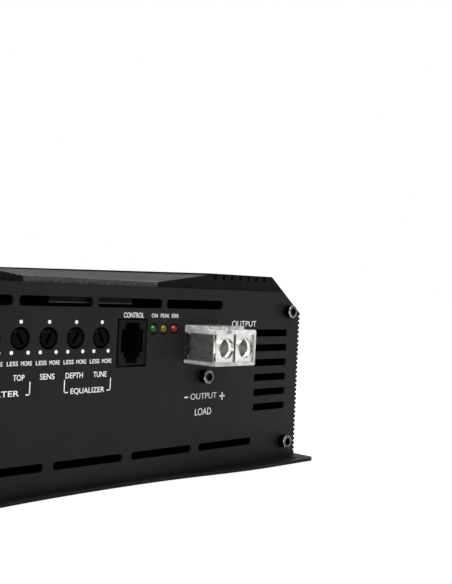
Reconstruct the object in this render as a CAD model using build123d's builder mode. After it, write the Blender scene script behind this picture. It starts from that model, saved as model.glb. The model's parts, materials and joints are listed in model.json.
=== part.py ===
from build123d import *
import math
import os

# Car amplifier: a finned aluminium shell over a steel base plate, closed by a control
# panel at the front (-Y) and a power panel at the rear (+Y). Millimetres, +Z up, with the
# origin on the mounting surface under the middle of the body.

# ---- driving dimensions -------------------------------------------------------------
half_length = 160.0          # origin to the outer face of each end panel
panel_thickness = 1.0
panel_half_width = 108.0
panel_top = 68.3
panel_corner_x = 97.1        # where the panel's corner slopes start and end
panel_side_top = 60.0
base_thickness = 1.3
base_half_width = 110.3
flange_at_corners = 10.0     # how far the base plate runs past the panels
flange_in_middle = 4.2
flange_hole_x = 100.0
flange_hole_out = 5.6        # flange hole centres, outwards from the panel face
flange_hole_radius = 2.2

shell_half_width = 110.05
shell_top = 74.3
side_top = 59.9              # where the corner slope meets the ribbed side
shoulder_in = 54.4
shoulder_out = 91.1
wing_in = 28.8
wing_low = 70.1
wing_high = 73.6
side_wall_x = 105.6          # inner face of the side walls
roof_inside = 64.5
pad_half_width = 17.7
pad_bottom = 61.9
pad_cutback = 1.1            # the pad under the roof stops this far short of each end
port_x = 100.9               # screw ports in the corners of the extrusion
port_low = 7.4
port_high = 60.6
m3_radius = 1.5
m3_hole = 1.55
m3_head_radius = 2.6
m3_head_height = 3.0
hex_socket = 1.65            # corner radius of the hexagon socket in the cap screws

slot_corner = 1.15
side_slot_corner = 0.6
top_slot = (29.2, 3.3)
top_slot_z = 62.4
top_slot_xs = [-47.25, -15.75, 15.75, 47.25]
bottom_slot = (29.3, 2.8)
bottom_slot_z = 9.1
bottom_slot_xs = [-66.6, -33.3, 0.0, 33.3, 66.6]
side_slot = (19.3, 2.85)
side_slot_x = 91.35
side_slot_pitch = 5.907
side_slot_zs = [51.76 - side_slot_pitch * i for i in range(6)]

pot_pitch = 10.82
pot_z = 50.5
pot_hole_radius = 3.7
pot_face_radius = 3.2
pot_recess = 0.2             # shaft faces behind the panel face
pot_stem_radius = 2.0
pot_travel = 150.0           # each way from twelve o'clock
# name, x, and where the shaft is set, in degrees clockwise from twelve o'clock
pots = [
    ("subsonic", 3.1 - 4 * pot_pitch, -pot_travel),
    ("lowpass", 3.1 - 3 * pot_pitch, pot_travel),
    ("gain", 3.1 - 2 * pot_pitch, -pot_travel),
    ("boost_level", 3.1 - pot_pitch, -pot_travel),
    ("boost_frequency", 3.1, pot_travel),
]
leds = [("led_power", 26.6), ("led_clip", 31.55), ("led_protect", 36.6)]
led_z = 53.5
led_radius = 1.5
led_hole_radius = 2.0
led_proud = 0.8              # how far the domes stand out of the panel
jack_left, jack_right = 10.95, 23.2
jack_low, jack_high = 40.9, 56.6
jack_window = (9.95, 23.65, 40.2, 57.1)
rca_xs = [-71.0, -56.0]
rca_z = 48.0
rca_radius = 4.15
rca_neck_radius = 3.8        # where the shell passes through the panel
rca_bore_radius = 3.4
rca_length = 8.0

terminal_out = 15.9          # how far the terminal housings stand off the panels
terminal_front = 1.5         # thickness of the clear front wall
terminal_wall = 1.1
terminal_roof = 2.6
terminal_step = (1.0, 6.2)     # depth and length of the lower step along the front of the roof
terminal_start = 2.4         # gap between the panel and the back of each metal block
terminal_mouth = 0.5         # holes in the front wall are this much larger in radius than the bores
terminal_gap = 0.1           # between a metal block and the clear housing
terminal_tail = 8.0          # how far the blocks reach in behind the panel
set_screw_out = 8.6          # set screw centres, outwards from the panel face
set_screw_radius = 2.93
set_screw_hole = 3.0
set_screw_length = 4.0
speaker_z = (40.9, 55.0)
speaker_blocks = [("negative", 43.4, 52.5), ("positive", 53.6, 62.7)]
speaker_bore = 3.2
speaker_screw = (53.15, 35.7)
power_z = (27.0, 45.8)
power_blocks = [("ground", -21.5, -5.5), ("remote", -4.5, 4.5), ("positive", 5.5, 21.5)]
power_bores = {"ground": 4.6, "remote": 2.0, "positive": 4.6}
power_screws_x = [-11.0, 11.0]
power_screw_z = 21.8

main_board_z = 12.0
board_thickness = 1.6
control_board_top = 40.9

os.makedirs("parts", exist_ok=True)
panel_inside = half_length - panel_thickness
board_top = main_board_z + board_thickness


# ---- helpers ------------------------------------------------------------------------
def save(part, name):
    """Label a finished piece and write it out."""
    part.label = name
    export_step(part, f"parts/{name}.step")


def across(y, side=-1):
    """Drawing plane across the body at y, facing outwards on the given side."""
    return Plane(origin=(0, y, 0), x_dir=(-side, 0, 0), z_dir=(0, side, 0))


def block(x_span, y_span, z_span, mode=Mode.ADD):
    """A rectangular block between three pairs of limits."""
    spans = [sorted(span) for span in (x_span, y_span, z_span)]
    with Locations([Vector(*[span[0] for span in spans])]):
        Box(*[span[1] - span[0] for span in spans], align=(Align.MIN,) * 3, mode=mode)


def post(x, y, z_span, radius, mode=Mode.ADD):
    """An upright cylinder."""
    with Locations([Vector(x, y, min(z_span))]):
        Cylinder(radius, abs(z_span[1] - z_span[0]),
                 align=(Align.CENTER, Align.CENTER, Align.MIN), mode=mode)


def rod(x, z, y_span, radius, mode=Mode.ADD):
    """A cylinder lying along Y."""
    middle = (y_span[0] + y_span[1]) / 2
    with Locations([Location((x, middle, z), (90, 0, 0))]):
        Cylinder(radius, abs(y_span[1] - y_span[0]), mode=mode)


def cap_screws(places, side, length):
    """Socket head cap screws through one end panel, heads outwards."""
    face = side * half_length
    with BuildPart() as screws:
        for x, z in places:
            rod(x, z, (face, face + side * m3_head_height), m3_head_radius)
        rims = screws.edges().filter_by(GeomType.CIRCLE).group_by(Axis.Y)[0 if side < 0 else -1]
        fillet(rims, 0.5)
        for x, z in places:
            rod(x, z, (face, face - side * length), m3_radius)
        with BuildSketch(across(face + side * m3_head_height, side)):
            with Locations([(-side * x, z) for x, z in places]):
                RegularPolygon(hex_socket, 6)
        extrude(amount=-1.7, mode=Mode.SUBTRACT)
    return screws.part


# ---- case ---------------------------------------------------------------------------
def ribs(start, end, count, depth, land=0.5, flank=0.16):
    """Outline points of a row of ribs from start to end, cut to the right of the travel."""
    pitch_x = (end[0] - start[0]) / count
    pitch_z = (end[1] - start[1]) / count
    pitch = math.hypot(pitch_x, pitch_z)
    inward_x = pitch_z / pitch * depth
    inward_z = -pitch_x / pitch * depth
    points = []
    for index in range(count):
        for share, cut in ((0, 0), (land, 0), (land + flank, 1), (1 - flank, 1)):
            along = index + share
            points.append((start[0] + pitch_x * along + cut * inward_x,
                           start[1] + pitch_z * along + cut * inward_z))
    return points


def shell_outline():
    """Right half of the extrusion's section, clockwise from the top middle."""
    outer = [(0, panel_top), (wing_in, panel_top), (wing_in, wing_low)]
    wing_out = shoulder_in - 0.8
    outer += ribs((wing_in + 0.6, wing_low + 0.1), (wing_out, wing_high), 12, 0.45)
    outer += [(wing_out, wing_high), (shoulder_in, wing_high + 0.1), (shoulder_in, shell_top)]
    for index in range(7):
        groove = 58.1 + 4.72 * index
        outer += [(groove - 0.75, shell_top), (groove - 0.75, shell_top - 2.2)]
        outer += [(groove + 0.75, shell_top - 2.2), (groove + 0.75, shell_top)]
    outer += [(shoulder_out, shell_top)]
    outer += ribs((shell_half_width, side_top), (shell_half_width, 2.5), 31, 0.9)
    outer += [(shell_half_width, 2.5), (shell_half_width, base_thickness)]
    inner = [(side_wall_x, base_thickness), (side_wall_x, 58.5), (92.5, 67.8), (54.0, 67.8),
             (46.0, roof_inside), (pad_half_width, roof_inside), (pad_half_width, pad_bottom)]
    return outer + inner


def make_shell():
    right = shell_outline()
    left = [(-x, z) for x, z in reversed(right) if x > 0]
    with BuildPart() as shell:
        with BuildSketch(across(-panel_inside)):
            with BuildLine():
                Polyline(*right, *left, close=True)
            make_face()
            with Locations((port_x, port_high), (-port_x, port_high)):
                Circle(3.6)
            for x in (-port_x, port_x):
                with Locations(((x / abs(x)) * (side_wall_x + 96.7) / 2, port_low)):
                    Rectangle(side_wall_x - 96.7 + 0.4, 7.2)
            with Locations([(x, z) for x in (-port_x, port_x) for z in (port_low, port_high)]):
                Circle(m3_hole, mode=Mode.SUBTRACT)
        extrude(amount=-2 * panel_inside)
        for end in (-1, 1):
            cut = (end * (panel_inside + 1), end * (panel_inside - pad_cutback))
            block((-pad_half_width, pad_half_width), cut, (pad_bottom - 1, roof_inside), mode=Mode.SUBTRACT)
        for x in (-port_x, port_x):
            for y in base_screw_ys:
                post(x, y, (base_thickness, 5.6), m3_hole, mode=Mode.SUBTRACT)
    return shell.part


base_screw_ys = [-130.0, -45.0, 45.0, 130.0]
save(make_shell(), "heatsink_shell")

with BuildPart() as badge:
    block((-wing_in + 0.2, wing_in - 0.2), (-panel_inside, panel_inside), (panel_top, panel_top + 1.8))
save(badge.part, "top_insert")

with BuildPart() as base:
    corner_y = half_length + flange_at_corners
    middle_y = half_length + flange_in_middle
    with BuildSketch():
        with BuildLine():
            for side in (-1, 1):
                Spline((-82, side * corner_y), (-40, side * (middle_y + 1.9)), (0, side * middle_y),
                       (40, side * (middle_y + 1.9)), (82, side * corner_y),
                       tangents=((1, 0), (1, 0)))
                for end in (-1, 1):
                    Line((end * 82, side * corner_y), (end * base_half_width, side * corner_y))
            for end in (-1, 1):
                Line((end * base_half_width, -corner_y), (end * base_half_width, corner_y))
        make_face()
    extrude(amount=base_thickness)
    fillet(base.edges().filter_by(Axis.Z), 3.0)
    with Locations([(x, y, 0) for x in (-flange_hole_x, flange_hole_x)
                    for y in (-half_length - flange_hole_out, half_length + flange_hole_out)]):
        Cylinder(flange_hole_radius, 4 * base_thickness, mode=Mode.SUBTRACT)
    with Locations([(x, y, 0) for x in (-port_x, port_x) for y in base_screw_ys]):
        Cylinder(m3_hole, 4 * base_thickness, mode=Mode.SUBTRACT)
save(base.part, "base_plate")

with BuildPart() as base_screws:
    for x in (-port_x, port_x):
        for y in base_screw_ys:
            post(x, y, (0.1, 5.4), m3_radius)
save(base_screws.part, "base_screws")


def panel_blank(side):
    """One end panel with the vents and corner holes that both ends share."""
    with BuildPart() as panel:
        with BuildSketch(across(side * panel_inside, side)):
            with BuildLine():
                Polyline((-panel_half_width, base_thickness), (panel_half_width, base_thickness),
                         (panel_half_width, panel_side_top), (panel_corner_x, panel_top),
                         (-panel_corner_x, panel_top), (-panel_half_width, panel_side_top), close=True)
            make_face()
            with Locations([(x, top_slot_z) for x in top_slot_xs]):
                RectangleRounded(*top_slot, slot_corner, mode=Mode.SUBTRACT)
            with Locations([(x, bottom_slot_z) for x in bottom_slot_xs]):
                RectangleRounded(*bottom_slot, slot_corner, mode=Mode.SUBTRACT)
            with Locations([(x, z) for x in (-side_slot_x, side_slot_x) for z in side_slot_zs]):
                RectangleRounded(*side_slot, side_slot_corner, mode=Mode.SUBTRACT)
            with Locations([(x, z) for x in (-port_x, port_x) for z in (port_low, port_high)]):
                Circle(m3_hole, mode=Mode.SUBTRACT)
        extrude(amount=panel_thickness)
    return panel.part


corner_places = [(x, z) for x in (-port_x, port_x) for z in (port_low, port_high)]
neck_clearance = 0.15


def neck_window(blocks, heights):
    """Opening in a panel for the neck of a terminal housing: x and z limits."""
    left = blocks[0][1] - terminal_wall / 2 - neck_clearance
    right = blocks[-1][2] + terminal_wall / 2 + neck_clearance
    return (left, right), (heights[0] + 0.6 - neck_clearance, heights[1] - 1.4 + neck_clearance)


with BuildPart() as front:
    add(panel_blank(-1))
    through = (-half_length - 1, -panel_inside + 1)
    for name, x, setting in pots:
        rod(x, pot_z, through, pot_hole_radius, mode=Mode.SUBTRACT)
    for name, x in leds:
        rod(x, led_z, through, led_hole_radius, mode=Mode.SUBTRACT)
    for x in rca_xs:
        rod(x, rca_z, through, rca_neck_radius + 0.2, mode=Mode.SUBTRACT)
    block(jack_window[:2], through, jack_window[2:], mode=Mode.SUBTRACT)
    x_window, z_window = neck_window(speaker_blocks, speaker_z)
    block(x_window, through, z_window, mode=Mode.SUBTRACT)
    rod(*speaker_screw, through, m3_hole, mode=Mode.SUBTRACT)
save(front.part, "front_panel")

with BuildPart() as rear:
    add(panel_blank(1))
    through = (panel_inside - 1, half_length + 1)
    x_window, z_window = neck_window(power_blocks, power_z)
    block(x_window, through, z_window, mode=Mode.SUBTRACT)
    for x in power_screws_x:
        rod(x, power_screw_z, through, m3_hole, mode=Mode.SUBTRACT)
save(rear.part, "rear_panel")

save(cap_screws(corner_places, -1, 9.0), "front_panel_screws")
save(cap_screws(corner_places, 1, 9.0), "rear_panel_screws")


# ---- screw terminals ----------------------------------------------------------------
def metal_heights(heights):
    """Lower and upper faces of the metal blocks in a housing of these heights."""
    return heights[0] + 1.3, heights[1] - terminal_roof


def terminal_housing(side, blocks, heights, bores, screw_places):
    """Clear housing: a box open at the back, a neck through the panel and screw lugs."""
    def y(out):
        return side * (half_length + out)
    low, high = metal_heights(heights)
    left = blocks[0][1] - terminal_wall
    right = blocks[-1][2] + terminal_wall
    neck_x, neck_z = neck_window(blocks, heights)
    neck_x = (neck_x[0] + neck_clearance, neck_x[1] - neck_clearance)
    neck_z = (neck_z[0] + neck_clearance, neck_z[1] - neck_clearance)
    back = y(-terminal_tail - 1)
    front_wall = y(terminal_out - terminal_front)
    with BuildPart() as housing:
        block((left, right), (y(0), y(terminal_out)), heights)
        block((left, right), (y(terminal_out - terminal_step[1]), y(terminal_out)),
              (heights[1] - terminal_step[0], heights[1]), mode=Mode.SUBTRACT)
        fillet(housing.edges().filter_by(Axis.Y), 0.7)
        fillet(housing.edges().group_by(Axis.Y)[0 if side < 0 else -1], 0.3)
        block(neck_x, (y(0), y(-terminal_tail)), neck_z)
        for x, z in screw_places:
            block((x - 4, x + 4), (y(-panel_thickness), y(-terminal_tail)), (z - 4, neck_z[0] + 1))
        for name, x0, x1 in blocks:
            middle = (x0 + x1) / 2
            block((x0 - terminal_gap, x1 + terminal_gap), (back, front_wall),
                  (low - terminal_gap, high + terminal_gap), mode=Mode.SUBTRACT)
            rod(middle, (low + high) / 2, (front_wall, y(terminal_out + 1)), bores[name] + terminal_mouth,
                mode=Mode.SUBTRACT)
            post(middle, y(set_screw_out), (high, heights[1] + 1), set_screw_hole + 0.4, mode=Mode.SUBTRACT)
        for x, z in screw_places:
            rod(x, z, (y(-panel_thickness), y(-terminal_tail)), m3_hole, mode=Mode.SUBTRACT)
    return housing.part


def terminal_block(side, span, heights, bore):
    """Metal block: wire bore from outside, threaded hole from above, tail down to the board."""
    def y(out):
        return side * (half_length + out)
    x0, x1 = span
    low, high = metal_heights(heights)
    middle = (x0 + x1) / 2
    centre_z = (low + high) / 2
    front_face = terminal_out - terminal_front - terminal_gap
    tail = (middle - 2.5, middle + 2.5)
    with BuildPart() as metal:
        block((x0, x1), (y(terminal_start), y(front_face)), (low, high))
        chamfer(metal.edges().group_by(Axis.Y)[0 if side < 0 else -1], 0.25)
        block(tail, (y(-terminal_tail - 3), y(terminal_start)), (centre_z - 3.5, centre_z + 3.5))
        block(tail, (y(-terminal_tail - 3), y(-terminal_tail)), (board_top, centre_z))
        rod(middle, centre_z, (y(terminal_start + 1), y(front_face + 1)), bore, mode=Mode.SUBTRACT)
        mouth = metal.edges().filter_by(GeomType.CIRCLE).group_by(Axis.Y)[0 if side < 0 else -1]
        chamfer(mouth, 0.45)
        post(middle, y(set_screw_out), (centre_z, high + 1), set_screw_hole, mode=Mode.SUBTRACT)
    return metal.part


def set_screw(side, span, heights):
    """Headless clamping screw, drawn backed out flush with the top of the housing."""
    middle = (span[0] + span[1]) / 2
    top = heights[1]
    with BuildPart() as screw:
        post(middle, side * (half_length + set_screw_out), (top - set_screw_length, top), set_screw_radius)
        with BuildSketch(Plane.XY.offset(top)):
            with Locations((middle, side * (half_length + set_screw_out))):
                RegularPolygon(1.7, 6)
        extrude(amount=-2.2, mode=Mode.SUBTRACT)
    return screw.part


speaker_bores = {"negative": speaker_bore, "positive": speaker_bore}
speaker_housing = terminal_housing(-1, speaker_blocks, speaker_z, speaker_bores, [speaker_screw])
save(speaker_housing, "speaker_terminal_housing")
for name, x0, x1 in speaker_blocks:
    save(terminal_block(-1, (x0, x1), speaker_z, speaker_bore), f"speaker_terminal_{name}")
    save(set_screw(-1, (x0, x1), speaker_z), f"speaker_set_screw_{name}")
save(cap_screws([speaker_screw], -1, 7.0), "speaker_terminal_screw")

power_screw_places = [(x, power_screw_z) for x in power_screws_x]
power_housing = terminal_housing(1, power_blocks, power_z, power_bores, power_screw_places)
save(power_housing, "power_terminal_housing")
for name, x0, x1 in power_blocks:
    save(terminal_block(1, (x0, x1), power_z, power_bores[name]), f"power_terminal_{name}")
    save(set_screw(1, (x0, x1), power_z), f"power_set_screw_{name}")
save(cap_screws(power_screw_places, 1, 7.0), "power_terminal_screws")


# ---- controls -----------------------------------------------------------------------
pot_face = -half_length + pot_recess
pot_front = pot_face + 2.2
pot_back = pot_front + 7.6
for name, x, setting in pots:
    with BuildPart() as pot:
        block((x - 4.8, x + 4.8), (pot_front, pot_back), (control_board_top, pot_z + 5.2))
        rod(x, pot_z, (pot_front - 1, pot_back - 1.2), pot_stem_radius + 0.08, mode=Mode.SUBTRACT)
    save(pot.part, f"pot_body_{name}")
    with BuildPart() as shaft:
        rod(x, pot_z, (pot_face, pot_front - 0.3), pot_face_radius)
        fillet(shaft.edges().filter_by(GeomType.CIRCLE).group_by(Axis.Y)[0], 0.9)
        rod(x, pot_z, (pot_front - 0.4, pot_back - 1.6), pot_stem_radius)
        with BuildSketch(across(pot_face)):
            with Locations((x, pot_z)):
                Rectangle(1.2, 4.2, rotation=-setting)
        extrude(amount=-1.2, mode=Mode.SUBTRACT)
    save(shaft.part, f"pot_shaft_{name}")

for name, x in leds:
    with BuildPart() as led:
        rod(x, led_z, (-half_length - led_proud, -panel_inside + 1.8), led_radius)
        fillet(led.edges().filter_by(GeomType.CIRCLE).group_by(Axis.Y)[0], 1.4)
        rod(x, led_z, (-panel_inside + 0.8, -panel_inside + 1.8), 1.9)
        for offset in (-1.27, 1.27):
            block((x + offset - 0.25, x + offset + 0.25), (-panel_inside + 1.8, -panel_inside + 5.0),
                  (led_z - 0.25, led_z + 0.25))
            block((x + offset - 0.25, x + offset + 0.25), (-panel_inside + 4.5, -panel_inside + 5.0),
                  (control_board_top, led_z + 0.25))
    save(led.part, name)

jack_middle = (jack_left + jack_right) / 2
jack_front = -half_length + 0.3
jack_steps = [(5.0, 41.5, 43.6), (7.3, 43.5, 45.4), (10.0, 45.3, 53.3), (6.5, 53.2, 55.6)]
with BuildPart() as jack:
    block((jack_left, jack_right), (jack_front, jack_front + 13.0), (jack_low, jack_high))
    for width, low, high in jack_steps:
        block((jack_middle - width / 2, jack_middle + width / 2), (jack_front - 1, jack_front + 11.4),
              (low, high), mode=Mode.SUBTRACT)
save(jack.part, "remote_jack")

with BuildPart() as contacts:
    for index in range(4):
        x = jack_middle + (index - 1.5) * 1.27
        block((x - 0.2, x + 0.2), (jack_front + 5.0, jack_front + 11.4), (54.5, 54.9))
save(contacts.part, "remote_jack_contacts")

with BuildPart() as rca_body:
    block((rca_xs[0] - 7, rca_xs[1] + 7), (-panel_inside, -panel_inside + 11), (control_board_top, rca_z + 7))
save(rca_body.part, "input_jack_block")

rca_end = -half_length - rca_length
with BuildPart() as rca:
    for x in rca_xs:
        rod(x, rca_z, (rca_end, -half_length), rca_radius)
        rod(x, rca_z, (-half_length, -panel_inside), rca_neck_radius)
        rod(x, rca_z, (rca_end - 1, -panel_inside - 0.5), rca_bore_radius, mode=Mode.SUBTRACT)
save(rca.part, "input_jack_shells")

with BuildPart() as rca_core:
    for x in rca_xs:
        rod(x, rca_z, (rca_end + 0.5, -panel_inside - 0.5), rca_bore_radius - 0.1)
        rod(x, rca_z, (rca_end - 1, -panel_inside - 1.5), 1.65, mode=Mode.SUBTRACT)
save(rca_core.part, "input_jack_inserts")

control_board_span = (rca_xs[0] - 7.0, 40.0)
control_board_deep = 42.0
control_post_places = [(x, y) for x in (-73.0, -20.0, 36.0) for y in (-panel_inside + 14, -panel_inside + 38)]
with BuildPart() as control_board:
    block(control_board_span, (-panel_inside + 4.0, -panel_inside + control_board_deep),
          (control_board_top - board_thickness, control_board_top))
save(control_board.part, "control_board")

with BuildPart() as control_posts:
    for x, y in control_post_places:
        post(x, y, (board_top, control_board_top - board_thickness), 2.5)
save(control_posts.part, "control_board_posts")


# ---- power electronics inside the shell -----------------------------------------------
standoff_places = [(x, y) for x in (-88.0, 88.0) for y in (-140.0, -48.0, 48.0, 140.0)]
with BuildPart() as main_board:
    block((-95.0, 95.0), (-150.5, 150.5), (main_board_z, board_top))
    with Locations([(x, y, main_board_z) for x, y in standoff_places]):
        Cylinder(m3_hole, 4 * board_thickness, mode=Mode.SUBTRACT)
save(main_board.part, "main_board")

with BuildPart() as standoffs:
    for x, y in standoff_places:
        post(x, y, (base_thickness, main_board_z), 3.0)
        post(x, y, (main_board_z - 6.0, main_board_z + 1), m3_hole, mode=Mode.SUBTRACT)
save(standoffs.part, "board_standoffs")

with BuildPart() as board_screws:
    for x, y in standoff_places:
        post(x, y, (main_board_z - 4.0, board_top), m3_radius)
        post(x, y, (board_top, board_top + 2.2), m3_head_radius)
save(board_screws.part, "board_screws")


def wound_ring(x, y, inner, outer, height, turns, wire):
    """A ring core lying on the board and its separate wire turns."""
    lift = board_top + wire + 0.4
    with BuildPart() as core:
        post(x, y, (lift, lift + height), outer)
        post(x, y, (lift - 1, lift + height + 1), inner, mode=Mode.SUBTRACT)
        fillet(core.edges().filter_by(GeomType.CIRCLE), 0.8)
    gap = 0.4
    loop_in = (inner - gap, outer + gap)
    with BuildPart() as winding:
        for index in range(turns):
            plane = Plane(origin=(x, y, 0), x_dir=(1, 0, 0), z_dir=(0, -1, 0))
            plane = plane.rotated((0, 0, 360 / turns * index))
            with BuildSketch(Plane(origin=(x, y, 0), x_dir=plane.x_dir, z_dir=plane.z_dir)):
                middle = (inner + outer) / 2
                with Locations((middle, lift + height / 2)):
                    RectangleRounded(loop_in[1] - loop_in[0] + 2 * wire, height + 2 * gap + 2 * wire, 1.6)
                    Rectangle(loop_in[1] - loop_in[0], height + 2 * gap, mode=Mode.SUBTRACT)
            extrude(amount=wire / 2, both=True)
    return core.part, winding.part


for name, x, y in (("left", -42.0, 62.0), ("right", 42.0, 62.0)):
    core, winding = wound_ring(x, y, 14.0, 29.0, 22.0, 20, 2.2)
    save(core, f"transformer_core_{name}")
    save(winding, f"transformer_winding_{name}")
core, winding = wound_ring(48.0, -88.0, 11.0, 23.0, 16.0, 18, 1.8)
save(core, "output_inductor_core")
save(winding, "output_inductor_winding")


def capacitors(places, radius, height):
    """Upright capacitor cans with a pressed groove near the foot."""
    with BuildPart() as cans:
        for x, y in places:
            post(x, y, (board_top, board_top + height), radius)
        for x, y in places:
            with Locations((x, y, board_top + 4.0)):
                Torus(radius + 0.5, 1.0, mode=Mode.SUBTRACT)
    return cans.part


save(capacitors([(x, 122.0) for x in (-66.0, -44.0, -22.0, 22.0, 44.0, 66.0)], 9.0, 35.0), "input_capacitors")
save(capacitors([(x, -18.0) for x in (-66.0, -40.0, -14.0, 14.0, 40.0, 66.0)], 11.0, 40.0), "rail_capacitors")

with BuildPart() as film:
    for x in (-10.0, 14.0):
        block((x - 8, x + 8), (-100.0, -88.0), (board_top, board_top + 18))
    fillet(film.edges().filter_by(Axis.Z), 1.0)
save(film.part, "output_filter_capacitors")

transistor_ys = [-110.0 + 22.0 * i for i in range(11)]
clamp_screw_ys = [-121.0 + 44.0 * i for i in range(6)]
clamp_z = 28.0
pad_thickness = 0.5
package = 4.5
bar_thickness = 2.5


def inwards(side, depth):
    """X of a face this deep inside the left (-1) or right (+1) wall."""
    return side * (side_wall_x - depth)


def crosswise(side, depths, y, radius, mode=Mode.ADD):
    """A cylinder along X between two depths from the side wall."""
    start, end = [inwards(side, depth) for depth in depths]
    with Locations([Location(((start + end) / 2, y, clamp_z), (0, 90, 0))]):
        Cylinder(radius, abs(end - start), mode=mode)


package_face = pad_thickness + package
bar_face = package_face + bar_thickness
with BuildPart() as strips:
    for side in (-1, 1):
        block((inwards(side, 0), inwards(side, pad_thickness)), (-126.0, 126.0), (20.0, 38.0))
        for y in clamp_screw_ys:
            crosswise(side, (-1, 2), y, m3_hole, mode=Mode.SUBTRACT)
save(strips.part, "insulating_strips")

for label, side in (("left", -1), ("right", 1)):
    lead_out = pad_thickness + 2.0
    with BuildPart() as transistors:
        for y in transistor_ys:
            block((inwards(side, pad_thickness), inwards(side, package_face)), (y - 5, y + 5), (21.0, 36.0))
            for lead in (-2.54, 0.0, 2.54):
                width = (y + lead - 0.4, y + lead + 0.4)
                block((inwards(side, lead_out), inwards(side, lead_out + 0.6)), width, (16.0, 21.0))
                block((inwards(side, lead_out), inwards(side, lead_out + 8.0)), width, (15.4, 16.0))
                foot = (inwards(side, lead_out + 7.4), inwards(side, lead_out + 8.0))
                block(foot, width, (board_top, 16.0))
    save(transistors.part, f"transistors_{label}")

with BuildPart() as bars:
    for side in (-1, 1):
        block((inwards(side, package_face), inwards(side, bar_face)), (-126.0, 126.0), (24.0, 32.0))
        for y in clamp_screw_ys:
            crosswise(side, (package_face - 1, bar_face + 1), y, m3_hole, mode=Mode.SUBTRACT)
save(bars.part, "clamp_bars")

with BuildPart() as clamp_screws:
    for side in (-1, 1):
        for y in clamp_screw_ys:
            crosswise(side, (0, bar_face), y, m3_radius)
            crosswise(side, (bar_face, bar_face + 2.4), y, m3_head_radius)
save(clamp_screws.part, "clamp_screws")
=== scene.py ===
import json
import math

import bmesh
import bpy
from mathutils import Matrix, Vector


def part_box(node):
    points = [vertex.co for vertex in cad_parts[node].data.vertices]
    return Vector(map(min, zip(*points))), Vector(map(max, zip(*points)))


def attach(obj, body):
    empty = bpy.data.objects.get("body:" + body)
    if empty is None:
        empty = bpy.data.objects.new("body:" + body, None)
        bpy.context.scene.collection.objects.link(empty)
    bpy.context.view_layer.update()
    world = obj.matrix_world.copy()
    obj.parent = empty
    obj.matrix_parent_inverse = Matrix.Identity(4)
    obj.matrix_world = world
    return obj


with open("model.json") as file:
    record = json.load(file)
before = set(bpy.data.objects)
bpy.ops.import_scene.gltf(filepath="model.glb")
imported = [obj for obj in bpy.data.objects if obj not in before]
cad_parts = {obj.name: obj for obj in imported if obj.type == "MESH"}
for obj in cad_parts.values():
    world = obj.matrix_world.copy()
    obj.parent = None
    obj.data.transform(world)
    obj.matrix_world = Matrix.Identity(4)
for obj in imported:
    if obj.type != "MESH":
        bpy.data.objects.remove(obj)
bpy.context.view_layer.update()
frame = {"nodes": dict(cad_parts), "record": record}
NODES = frame["nodes"]
MM = 0.001
NONE = (0, 0, 0)             # the two ends of a mask
FULL = (1, 1, 1)

# ---- where things are, read from the frame ----------------------------------------------
PANEL_LOW, PANEL_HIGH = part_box("front_panel")
PANEL_FACE = PANEL_LOW.y
REAR_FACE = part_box("rear_panel")[1].y


def middle(node):
    """Centre of a CAD node's box."""
    low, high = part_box(node)
    return (low + high) / 2


# ---- camera ------------------------------------------------------------------------------
def make_camera():
    """Camera to the left of the control panel, at the height of its top edge."""
    left_of_middle = 0.2029
    before_panel = 0.2487
    height = 0.0691
    yaw = math.radians(46.94)
    pitch = math.radians(0.247)
    roll = math.radians(2.555)
    ahead = Vector((math.sin(yaw), math.cos(yaw), 0))
    forward = ahead * math.cos(pitch) - Vector((0, 0, math.sin(pitch)))
    level = Vector((math.cos(yaw), -math.sin(yaw), 0))
    upright = level.cross(forward)
    right = level * math.cos(roll) + upright * math.sin(roll)
    up = upright * math.cos(roll) - level * math.sin(roll)
    data = bpy.data.cameras.new("camera")
    data.sensor_width = 36
    data.lens = 58.82
    data.clip_start = 0.01
    camera = bpy.data.objects.new("camera", data)
    bpy.context.collection.objects.link(camera)
    turn = Matrix((right, up, -forward)).transposed().to_4x4()
    camera.matrix_world = Matrix.Translation((-left_of_middle, PANEL_FACE - before_panel, height)) @ turn
    bpy.context.scene.camera = camera


# ---- light and floor ---------------------------------------------------------------------
def area_light(name, place, target, size, power):
    """A soft box at place, facing target."""
    data = bpy.data.lights.new(name, "AREA")
    data.shape = "RECTANGLE"
    data.size, data.size_y = size
    data.energy = power
    light = bpy.data.objects.new(name, data)
    bpy.context.collection.objects.link(light)
    aim = Vector(target) - Vector(place)
    light.matrix_world = Matrix.Translation(place) @ aim.to_track_quat("-Z", "Y").to_matrix().to_4x4()


def broad_light(name, direction, spread, strength):
    """A very soft sun, which lights the floor evenly out to the horizon."""
    data = bpy.data.lights.new(name, "SUN")
    data.angle = math.radians(spread)
    data.energy = strength
    light = bpy.data.objects.new(name, data)
    bpy.context.collection.objects.link(light)
    light.matrix_world = Vector(direction).to_track_quat("-Z", "Y").to_matrix().to_4x4()


def make_world():
    """White surroundings for the camera, a dimmer room for everything the object reflects."""
    world = bpy.data.worlds.new("studio")
    bpy.context.scene.world = world
    world.use_nodes = True
    tree = world.node_tree
    tree.nodes.clear()
    seen = tree.nodes.new("ShaderNodeBackground")
    seen.inputs["Color"].default_value = (1, 1, 1, 1)
    seen.inputs["Strength"].default_value = 1.0
    room = tree.nodes.new("ShaderNodeBackground")
    room.inputs["Color"].default_value = (1, 1, 1, 1)
    room.inputs["Strength"].default_value = 0.8
    path = tree.nodes.new("ShaderNodeLightPath")
    mix = tree.nodes.new("ShaderNodeMixShader")
    out = tree.nodes.new("ShaderNodeOutputWorld")
    tree.links.new(path.outputs["Is Camera Ray"], mix.inputs[0])
    tree.links.new(room.outputs[0], mix.inputs[1])
    tree.links.new(seen.outputs[0], mix.inputs[2])
    tree.links.new(mix.outputs[0], out.inputs["Surface"])


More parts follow.
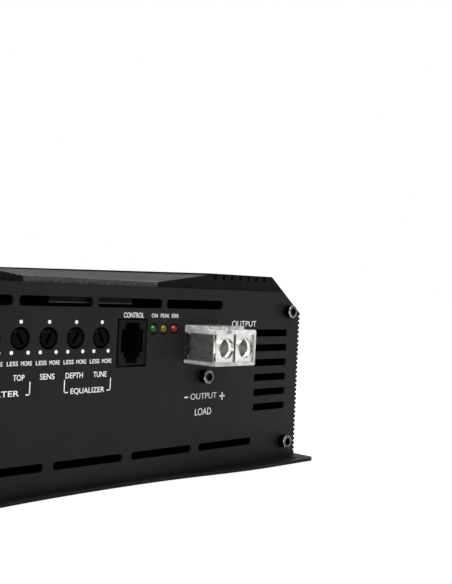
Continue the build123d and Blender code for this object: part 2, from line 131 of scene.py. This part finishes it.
def make_stage():
    """Pale floor under the object."""
    bpy.ops.mesh.primitive_plane_add(size=30, location=(0, 0, 0))
    floor = bpy.context.object
    floor.name = "floor"
    paint = Paint("floor_paint", rough=0.9)
    paint.colour((0.92, 0.92, 0.92), (0.94, 0.94, 0.94), scale=3)
    floor.data.materials.append(paint.material)


# ---- materials ---------------------------------------------------------------------------
class Paint:
    """One procedural material, built up from object-space noise."""

    def __init__(self, name, rough=0.5, metal=0.0, specular=0.5):
        self.material = bpy.data.materials.new(name)
        self.material.use_nodes = True
        self.tree = self.material.node_tree
        self.shader = self.tree.nodes["Principled BSDF"]
        self.set("Roughness", rough)
        self.set("Metallic", metal)
        self.set("Specular IOR Level", specular)
        self.place = self.add("ShaderNodeTexCoord").outputs["Object"]
        self.height = None

    def add(self, kind, **values):
        node = self.tree.nodes.new(kind)
        for key, value in values.items():
            setattr(node, key, value)
        return node

    def link(self, start, end):
        self.tree.links.new(start, end)

    def set(self, socket, value):
        self.shader.inputs[socket].default_value = value

    def noise(self, scale, detail=4, stretch=(1, 1, 1), rough=0.55):
        """Noise whose features are about 1/scale metres across."""
        mapping = self.add("ShaderNodeMapping")
        mapping.inputs["Scale"].default_value = stretch
        self.link(self.place, mapping.inputs["Vector"])
        texture = self.add("ShaderNodeTexNoise")
        texture.inputs["Scale"].default_value = scale
        texture.inputs["Detail"].default_value = detail
        texture.inputs["Roughness"].default_value = rough
        self.link(mapping.outputs[0], texture.inputs["Vector"])
        return texture.outputs["Fac"]

    def ramp(self, factor, stops):
        """Colour ramp with (position, colour) stops."""
        ramp = self.add("ShaderNodeValToRGB")
        elements = ramp.color_ramp.elements
        while len(elements) < len(stops):
            elements.new(0.5)
        for element, (position, colour) in zip(elements, stops):
            element.position = position
            element.color = (*colour, 1)
        self.link(factor, ramp.inputs[0])
        return ramp.outputs[0]

    def spread(self, factor, low, high):
        """Map noise around its middle onto the range low to high."""
        node = self.add("ShaderNodeMapRange")
        node.inputs["From Min"].default_value = 0.3
        node.inputs["From Max"].default_value = 0.7
        node.inputs["To Min"].default_value = low
        node.inputs["To Max"].default_value = high
        self.link(factor, node.inputs["Value"])
        return node.outputs[0]

    def colour(self, dark, light, scale=60, detail=4, stretch=(1, 1, 1)):
        """Base colour that wanders between two values."""
        output = self.ramp(self.noise(scale, detail, stretch), [(0.3, dark), (0.7, light)])
        self.link(output, self.shader.inputs["Base Color"])
        return self

    def specks(self, base_low, base_high, speck, scale=900, share=0.735):
        """Base colour with a few fine specks."""
        ground = self.ramp(self.noise(45), [(0.3, base_low), (0.7, base_high)])
        spots = self.noise(scale, 2)
        self.link(ground, self.shader.inputs["Base Color"])
        self.over(self.ramp(spots, [(share, NONE), (share + 0.03, FULL)]), speck)
        return self

    def facing(self, axis):
        """How far the surface faces along one of the object's axes."""
        split = self.add("ShaderNodeSeparateXYZ")
        self.link(self.add("ShaderNodeTexCoord").outputs["Normal"], split.inputs[0])
        return split.outputs[axis]

    def sheen_on_tops(self, dark, light, scale=400, stretch=(1, 0.03, 1)):
        """Painted sheen: lighter grey on the faces that look up, standing in for the light they catch
        from above.
        """
        up = self.ramp(self.facing("Z"), [(0.8, NONE), (0.95, FULL)])
        self.over(up, self.ramp(self.noise(scale, 5, stretch), [(0.3, dark), (0.7, light)]))
        return self

    def rim_highlights(self, barrel, rim, end):
        """Painted highlights and shade on parts that lie along Y: dark barrels, bright rounded rims and
        greyer end faces where light falls, broken up by patches of wear.
        """
        along = self.add("ShaderNodeMath", operation="ABSOLUTE")
        self.link(self.facing("Y"), along.inputs[0])
        shade = self.ramp(along.outputs[0], [(0.25, barrel), (0.45, rim), (0.9, rim), (0.985, end)])
        # patches of wear, which also break the painted rim highlights into spots
        wear_and_patchy_highlights = self.ramp(self.noise(650, 3), [(0.38, (0.22, 0.22, 0.22)), (0.62, FULL)])
        mix = self.add("ShaderNodeMix", data_type="RGBA", blend_type="MULTIPLY")
        mix.inputs["Factor"].default_value = 1.0
        self.link(shade, mix.inputs["A"])
        self.link(wear_and_patchy_highlights, mix.inputs["B"])
        self.link(mix.outputs["Result"], self.shader.inputs["Base Color"])
        return self

    def glint(self, direction, bright):
        """A painted highlight: a small pale spot where the surface faces one way."""
        towards = self.add("ShaderNodeVectorMath", operation="DOT_PRODUCT")
        self.link(self.add("ShaderNodeTexCoord").outputs["Normal"], towards.inputs[0])
        towards.inputs[1].default_value = Vector(direction).normalized()
        self.over(self.ramp(towards.outputs["Value"], [(0.965, NONE), (0.995, FULL)]), bright)
        return self

    def over(self, mask, colour):
        """Lay a colour, or another colour output, over the base colour."""
        under = self.shader.inputs["Base Color"].links[0].from_socket
        mix = self.add("ShaderNodeMix", data_type="RGBA")
        self.link(mask, mix.inputs["Factor"])
        self.link(under, mix.inputs["A"])
        if isinstance(colour, tuple):
            mix.inputs["B"].default_value = (*colour, 1)
        else:
            self.link(colour, mix.inputs["B"])
        self.link(mix.outputs["Result"], self.shader.inputs["Base Color"])

    def gloss(self, low, high, scale=200, stretch=(1, 1, 1)):
        """Roughness that wanders between two values."""
        self.link(self.spread(self.noise(scale, 5, stretch), low, high), self.shader.inputs["Roughness"])
        return self

    def bump(self, scale, distance, stretch=(1, 1, 1), detail=4, strength=1.0):
        """Surface relief of about the given depth in metres; calls add up."""
        node = self.add("ShaderNodeBump")
        node.inputs["Distance"].default_value = distance
        node.inputs["Strength"].default_value = strength
        self.link(self.noise(scale, detail, stretch), node.inputs["Height"])
        if self.height:
            self.link(self.height, node.inputs["Normal"])
        self.height = node.outputs[0]
        self.link(self.height, self.shader.inputs["Normal"])
        return self


def anodised():
    """Black anodised extrusion with drawing lines along Y, and a painted sheen on its up-facing faces."""
    paint = Paint("anodised_shell", specular=0.05)
    paint.specks((0.002, 0.002, 0.002), (0.0035, 0.0035, 0.0035), (0.03, 0.03, 0.03),
                 scale=700, share=0.76)
    # painted sheen: lighter grey on the faces that look up
    paint.sheen_on_tops((0.074, 0.074, 0.073), (0.108, 0.108, 0.106))
    paint.gloss(0.34, 0.5, 500, (1, 0.02, 1))
    paint.bump(1500, 0.00002, (1, 0.01, 1)).bump(3000, 0.00001)
    return paint.material


def insert():
    """Dark brushed plate in the top channel, with a painted sheen on its up-facing faces."""
    paint = Paint("insert_plate", metal=0.3, specular=0.2)
    paint.colour((0.01, 0.01, 0.01), (0.055, 0.055, 0.053), 1300, 6)
    # painted sheen: lighter grey on the faces that look up
    paint.sheen_on_tops((0.014, 0.014, 0.014), (0.1, 0.1, 0.098), 700, (1, 0.6, 1))
    paint.gloss(0.4, 0.6, 700)
    paint.bump(1200, 0.00003)
    return paint.material


def panel_coat():
    """Satin black coat with a fine orange peel."""
    paint = Paint("panel_coating", specular=0.12)
    paint.specks((0.0055, 0.0055, 0.0053), (0.0075, 0.0075, 0.007), (0.04, 0.04, 0.038),
                 scale=1300, share=0.77)
    paint.gloss(0.42, 0.55, 300)
    paint.bump(2600, 0.000012).bump(300, 0.00001)
    return paint.material


def steel_coat():
    """Satin powder coat on the base sheet."""
    paint = Paint("coated_steel", specular=0.1)
    paint.specks((0.003, 0.003, 0.003), (0.005, 0.005, 0.0049), (0.03, 0.03, 0.03),
                 scale=900, share=0.76)
    paint.gloss(0.4, 0.6, 250)
    paint.bump(1800, 0.00002)
    return paint.material


def blackened():
    """Blackened screws, with painted highlights on their rims and end faces."""
    paint = Paint("blackened_screws", metal=0.9, specular=0.3)
    # painted highlights: bright rims and grey end faces over dark barrels
    paint.rim_highlights((0.008, 0.008, 0.008), (0.6, 0.6, 0.58), (0.13, 0.13, 0.125))
    paint.gloss(0.14, 0.28, 900)
    paint.bump(2500, 0.00001)
    return paint.material


def band(paint, value, low, high, level):
    """A step up to level between two limits, with soft edges."""
    span = high - low
    spread = paint.add("ShaderNodeMapRange")
    spread.inputs["From Min"].default_value = low - span
    spread.inputs["From Max"].default_value = high + span
    paint.link(value, spread.inputs["Value"])
    inside = (level, level, level)
    return paint.ramp(spread.outputs[0], [(0.30, NONE), (0.35, inside), (0.65, inside), (0.70, NONE)])


def most_of(paint, values):
    """The largest of several values."""
    result = values[0]
    for value in values[1:]:
        larger = paint.add("ShaderNodeMath", operation="MAXIMUM")
        paint.link(result, larger.inputs[0])
        paint.link(value, larger.inputs[1])
        result = larger.outputs[0]
    return result


def clear_plastic():
    """Clear moulded plastic with a painted glow: its floor, roof and end wall turn pale and less clear
    where they are seen edge on, standing in for the light they carry.
    """
    screw_to_floor = 7.8 * MM
    floor_thickness = 1.3 * MM
    roof_thickness = 2.6 * MM
    wall_thickness = 1.5 * MM
    soft = 0.3 * MM
    paint = Paint("clear_plastic", specular=0.5)
    paint.set("Base Color", (0.93, 0.93, 0.92, 1))
    paint.set("IOR", 1.49)
    split = paint.add("ShaderNodeSeparateXYZ")
    paint.link(paint.place, split.inputs[0])
    sides = []
    for group, metals, screws in (("speaker", ("negative", "positive"), "speaker_terminal_screw"),
                                  ("power", ("ground", "remote", "positive"), "power_terminal_screws")):
        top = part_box(group + "_terminal_housing")[1].z
        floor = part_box(screws)[0].z + screw_to_floor
        right = max(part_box(group + "_terminal_" + name)[1].x for name in metals)
        # painted glow: pale, less clear bands where the roof, floor and end wall are seen edge on
        roof_glow = band(paint, split.outputs["Z"], top - roof_thickness, top + soft, 0.52)
        floor_glow = band(paint, split.outputs["Z"], floor - soft, floor + floor_thickness, 0.45)
        wall_glow = band(paint, split.outputs["X"], right, right + wall_thickness, 0.42)
        sides.append(most_of(paint, [roof_glow, floor_glow, wall_glow]))
    rear = paint.add("ShaderNodeMath", operation="GREATER_THAN")
    rear.inputs[1].default_value = 0
    paint.link(split.outputs["Y"], rear.inputs[0])
    glow = paint.add("ShaderNodeMix", data_type="FLOAT")
    paint.link(rear.outputs[0], glow.inputs["Factor"])
    paint.link(sides[0], glow.inputs["A"])
    paint.link(sides[1], glow.inputs["B"])
    patchy = paint.add("ShaderNodeMath", operation="MULTIPLY")
    paint.link(glow.outputs["Result"], patchy.inputs[0])
    paint.link(paint.spread(paint.noise(230, 3), 0.3, 1.15), patchy.inputs[1])
    clear = paint.add("ShaderNodeMath", operation="SUBTRACT")
    clear.inputs[0].default_value = 1.0
    paint.link(patchy.outputs[0], clear.inputs[1])
    paint.link(clear.outputs[0], paint.shader.inputs["Transmission Weight"])
    paint.gloss(0.02, 0.08, 250)
    paint.bump(180, 0.00003).bump(900, 0.000003)
    return paint.material


def nickel():
    """Satin nickel on the terminal blocks."""
    paint = Paint("nickel_plate", metal=0.92)
    paint.colour((0.78, 0.775, 0.76), (0.88, 0.875, 0.855), 250, 4)
    paint.gloss(0.24, 0.34, 600, (1, 0.2, 1))
    paint.bump(900, 0.000002, (1, 0.15, 1))
    return paint.material


def zinc():
    """Zinc plated screws."""
    paint = Paint("set_screw_steel", metal=1.0)
    paint.colour((0.42, 0.42, 0.41), (0.62, 0.62, 0.6), 900, 5)
    paint.gloss(0.2, 0.4, 900)
    paint.bump(2500, 0.000015)
    return paint.material


def plastic(name, dark, light, rough, specular=0.45, grain=2200):
    """Moulded plastic."""
    paint = Paint(name, specular=specular)
    paint.colour(dark, light, 120)
    paint.gloss(rough[0], rough[1], 300)
    paint.bump(grain, 0.000008)
    return paint.material


def lamp(name, colour):
    """Tinted epoxy lamp lens with a painted highlight."""
    paint = Paint(name, specular=0.2)
    paint.colour(tuple(c * 0.3 for c in colour), colour, 900)
    # painted highlight towards the upper left front of the dome
    paint.glint((-0.6, -0.7, 0.4), (0.3, 0.3, 0.28))
    paint.gloss(0.1, 0.16, 400)
    paint.bump(1500, 0.000002)
    return paint.material


def board():
    """Solder mask with darker tracks."""
    paint = Paint("circuit_board", specular=0.5)
    wave = paint.noise(160, 1, (1, 0.25, 1))
    colour = paint.ramp(wave, [(0.44, (0.006, 0.045, 0.016)), (0.46, (0.012, 0.10, 0.035)),
                               (0.54, (0.012, 0.10, 0.035)), (0.56, (0.006, 0.045, 0.016))])
    paint.link(colour, paint.shader.inputs["Base Color"])
    paint.gloss(0.25, 0.4, 200)
    paint.bump(400, 0.00002, (1, 0.25, 1), 1)
    return paint.material


def metal(name, dark, light, rough):
    """Plain plated metal."""
    paint = Paint(name, metal=1.0)
    paint.colour(dark, light, 500, 5)
    paint.gloss(rough[0], rough[1], 700)
    paint.bump(1800, 0.00001)
    return paint.material


def ink():
    """Screen-printed label ink."""
    paint = Paint("label_ink", specular=0.3)
    paint.colour((0.56, 0.56, 0.55), (0.76, 0.76, 0.75), 1500)
    paint.gloss(0.4, 0.6, 900)
    paint.bump(3000, 0.000004)
    return paint.material


def finish_slots():
    """One material for every slot of the record."""
    black = (0.003, 0.003, 0.003)
    dark = (0.005, 0.005, 0.005)
    made = {
        "anodised_shell": anodised(), "insert_plate": insert(), "panel_coating": panel_coat(),
        "coated_steel": steel_coat(), "blackened_screws": blackened(), "clear_plastic": clear_plastic(),
        "nickel_plate": nickel(), "set_screw_steel": zinc(), "circuit_board": board(),
        "black_plastic": plastic("black_plastic", black, dark, (0.26, 0.36), 0.06),
        "shaft_plastic": plastic("shaft_plastic", (0.0005, 0.0005, 0.0005), (0.0015, 0.0015, 0.0015),
                                 (0.15, 0.22), 0.035),
        "gold_plate": metal("gold_plate", (0.6, 0.4, 0.14), (0.8, 0.58, 0.25), (0.2, 0.35)),
        "led_green": lamp("led_green", (0.01, 0.085, 0.014)),
        "led_amber": lamp("led_amber", (0.13, 0.108, 0.005)),
        "led_red": lamp("led_red", (0.19, 0.009, 0.01)),
        "white_plastic": plastic("white_plastic", (0.7, 0.7, 0.68), (0.8, 0.8, 0.78), (0.3, 0.4)),
        "bare_steel": metal("bare_steel", (0.4, 0.4, 0.39), (0.6, 0.6, 0.58), (0.25, 0.45)),
        "ferrite": plastic("ferrite", (0.03, 0.03, 0.033), (0.06, 0.06, 0.065), (0.5, 0.7), 0.5, 900),
        "copper_wire": metal("copper_wire", (0.42, 0.16, 0.06), (0.62, 0.27, 0.12), (0.2, 0.35)),
        "capacitor_sleeve": plastic("capacitor_sleeve", (0.012, 0.012, 0.02), (0.02, 0.02, 0.03),
                                    (0.25, 0.35)),
        "film_capacitor": plastic("film_capacitor", (0.3, 0.04, 0.03), (0.4, 0.06, 0.04), (0.2, 0.3)),
        "silicone_strip": plastic("silicone_strip", (0.3, 0.3, 0.31), (0.38, 0.38, 0.39), (0.6, 0.8)),
    }
    slots = {part["node"]: part["material_slot"] for part in frame["record"]["subparts"]}
    for name, node in NODES.items():
        node.data.materials.clear()
        node.data.materials.append(made[slots[name]])


# ---- printed labels ----------------------------------------------------------------------
INK_DEPTH = 0.00004


def printed(name, outline_object):
    """Turn a text object into a thin printed mesh."""
    bpy.context.view_layer.update()
    outline = outline_object.evaluated_get(bpy.context.evaluated_depsgraph_get())
    mesh = bpy.data.meshes.new_from_object(outline)
    bpy.data.objects.remove(outline_object)
    label = bpy.data.objects.new(name, mesh)
    bpy.context.collection.objects.link(label)
    return label


def on_panel(label, x, z, side=-1):
    """Stand a flat label up against the outer face of a panel."""
    face = PANEL_FACE if side < 0 else REAR_FACE
    turn = Matrix.Rotation(math.radians(90), 4, "X")
    if side > 0:
        turn = Matrix.Rotation(math.pi, 4, "Z") @ turn
    label.data.transform(Matrix.Translation((x, face + side * INK_DEPTH, z)) @ turn)
    label.data.materials.append(INK)
    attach(label, "chassis")


def text_label(name, words, x, z, cap_height, width=None, side=-1, weight=0.008):
    """Printed words centred at (x, z) on a panel, all in millimetres."""
    curve = bpy.data.curves.new(name, "FONT")
    curve.body = words
    curve.align_x = "CENTER"
    curve.align_y = "CENTER"
    curve.size = cap_height * MM / 0.69
    curve.extrude = INK_DEPTH / 2
    curve.offset = cap_height * MM * weight
    source = bpy.data.objects.new(name, curve)
    bpy.context.collection.objects.link(source)
    label = printed(name, source)
    if width:
        across = max(v.co.x for v in label.data.vertices) - min(v.co.x for v in label.data.vertices)
        label.data.transform(Matrix.Scale(width * MM / across, 4, (1, 0, 0)))
    on_panel(label, x * MM, z * MM, side)


def flat_label(name, shapes):
    """Printed flat shapes, given as lists of (x, z) corners in millimetres."""
    mesh = bmesh.new()
    for corners in shapes:
        face = mesh.faces.new([mesh.verts.new((x * MM, z * MM, 0)) for x, z in corners])
        grown = bmesh.ops.extrude_face_region(mesh, geom=[face])["geom"]
        moved = [item for item in grown if isinstance(item, bmesh.types.BMVert)]
        bmesh.ops.translate(mesh, verts=moved, vec=(0, 0, -INK_DEPTH / 2))
    bmesh.ops.recalc_face_normals(mesh, faces=mesh.faces)
    data = bpy.data.meshes.new(name)
    mesh.to_mesh(data)
    mesh.free()
    label = bpy.data.objects.new(name, data)
    bpy.context.collection.objects.link(label)
    on_panel(label, 0, 0)


def disc(x, z, radius, count=24):
    """Corners of a round dot."""
    turns = [2 * math.pi * i / count for i in range(count)]
    return [(x + radius * math.cos(turn), z + radius * math.sin(turn)) for turn in turns]


def bar(x0, z0, x1, z1):
    """Corners of an upright rectangle."""
    return [(x0, z0), (x1, z0), (x1, z1), (x0, z1)]


def label_controls():
    """Range dots, range words, names and group brackets of the five controls."""
    dot = 0.62
    top_dot = 5.24
    side_dot = (3.09, 4.43)
    pots = ("subsonic", "lowpass", "gain", "boost_level", "boost_frequency")
    centres = [middle("pot_shaft_" + name) / MM for name in pots]
    dots = []
    for centre in centres:
        dots.append(disc(centre.x, centre.z + top_dot, dot))
        for side in (-1, 1):
            dots.append(disc(centre.x + side * side_dot[0], centre.z - side_dot[1], dot))
    flat_label("control_dots", dots)
    for centre, name in zip(centres, pots):
        for side, words in ((-1, "LESS"), (1, "MORE")):
            place = (centre.x + side * 2.6, centre.z - 7.9)
            text_label(f"scale_{name}_{words.lower()}", words, *place, 1.35, 4.1)
    for centre, name, words in zip(centres, pots, ("CUT", "TOP", "SENS", "DEPTH", "TUNE")):
        text_label("name_" + name, words, centre.x, centre.z - 12.35, 1.8, 1.42 * len(words))
    text_label("name_boost_group", "EQUALIZER", -2.0, 33.0, 1.75, 14.2)
    text_label("name_crossover_group", "FILTER", -34.7, 33.3, 1.75, 11.0)
    line = 0.35
    inset = 1.7
    low, high = 32.6, 36.9
    brackets = []
    for left, right in ((-11.75, 7.95), (-44.6, -24.9)):
        brackets += [bar(left, low, left + line, high), bar(right - line, low, right, high),
                     bar(left, low, left + inset, low + line), bar(right - inset, low, right, low + line)]
    flat_label("group_brackets", brackets)


def label_jack_and_lamps():
    """Words above the remote jack and above each lamp."""
    jack = middle("remote_jack") / MM
    text_label("label_remote", "CONTROL", jack.x, 58.15, 1.75, 9.2, weight=0.004)
    for lamp_name, words, wide in (("power", "ON", 2.8), ("clip", "PEAK", 4.2), ("protect", "ERR", 3.4)):
        lens = middle("led_" + lamp_name) / MM
        text_label("label_led_" + lamp_name, words, lens.x + 0.3, 58.1, 1.4, wide, weight=0.0)


def label_terminals():
    """Words and polarity marks around the speaker terminal, the phono inputs and the power terminal."""
    text_label("label_speaker_top", "OUTPUT", 74.45, 55.3, 2.2, 14.1, weight=-0.01)
    text_label("label_speaker", "OUTPUT", 53.5, 28.2, 2.2, 13.9, weight=-0.01)
    minus = bar(43.4, 28.0, 45.3, 28.5)
    plus = [bar(62.1, 27.55, 65.0, 28.1), bar(63.3, 26.4, 63.85, 29.25)]
    flat_label("label_polarity", [minus, *plus])
    text_label("label_load", "LOAD", 53.5, 22.35, 2.6, 8.6, weight=-0.01)
    inputs = [corner.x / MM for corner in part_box("input_jack_shells")]
    text_label("label_input", "INPUT", sum(inputs) / 2, 38.2, 1.8, 7.2)
    shell_radius = 4.15
    text_label("label_input_L", "L", inputs[0] + shell_radius, 41.4, 1.8)
    text_label("label_input_R", "R", inputs[1] - shell_radius, 41.4, 1.8)
    for node, words in (("ground", "GND"), ("remote", "REM"), ("positive", "+12V")):
        place = middle("power_terminal_" + node) / MM
        text_label("label_power_" + node, words, place.x, 48.6, 2.6, side=1)


# ---- small finishing details -------------------------------------------------------------
def thin_bar(name, low, high, material):
    """A small box between two corners that rides on the case."""
    mesh = bmesh.new()
    bmesh.ops.create_cube(mesh, size=1.0)
    data = bpy.data.meshes.new(name)
    mesh.to_mesh(data)
    mesh.free()
    size = Vector(high) - Vector(low)
    data.transform(Matrix.Translation((Vector(low) + Vector(high)) / 2) @ Matrix.Diagonal((*size, 1)))
    data.materials.append(material)
    piece = bpy.data.objects.new(name, data)
    bpy.context.collection.objects.link(piece)
    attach(piece, "chassis")


def bare_edges():
    """Bare metal left along the lower edge of the pad under the roof, at both ends."""
    bare = metal("bare_edge", (0.02, 0.02, 0.02), (0.07, 0.07, 0.068), (0.4, 0.6))
    shell_low, shell_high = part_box("heatsink_shell")
    cutback = 1.1 * MM
    half = 17.6 * MM
    tall = 0.4 * MM
    thin = 0.03 * MM
    low_z = PANEL_HIGH.z - 6.38 * MM
    front = shell_low.y + cutback
    rear = shell_high.y - cutback
    thin_bar("bare_edge_front", (-half, front - thin, low_z), (half, front, low_z + tall), bare)
    thin_bar("bare_edge_rear", (-half, rear, low_z), (half, rear + thin, low_z + tall), bare)


# ---- the scene ---------------------------------------------------------------------------
INK = ink()
make_camera()
make_world()
make_stage()
broad_light("soft_sky", (0.25, 0.2, -1), 60, 1.3)
area_light("soft_front", (-0.12, -0.87, 0.78), (0, -0.16, 0.05), (0.3, 0.3), 5)
bpy.context.scene.view_settings.view_transform = "Standard"
finish_slots()
label_controls()
label_jack_and_lamps()
label_terminals()
bare_edges()
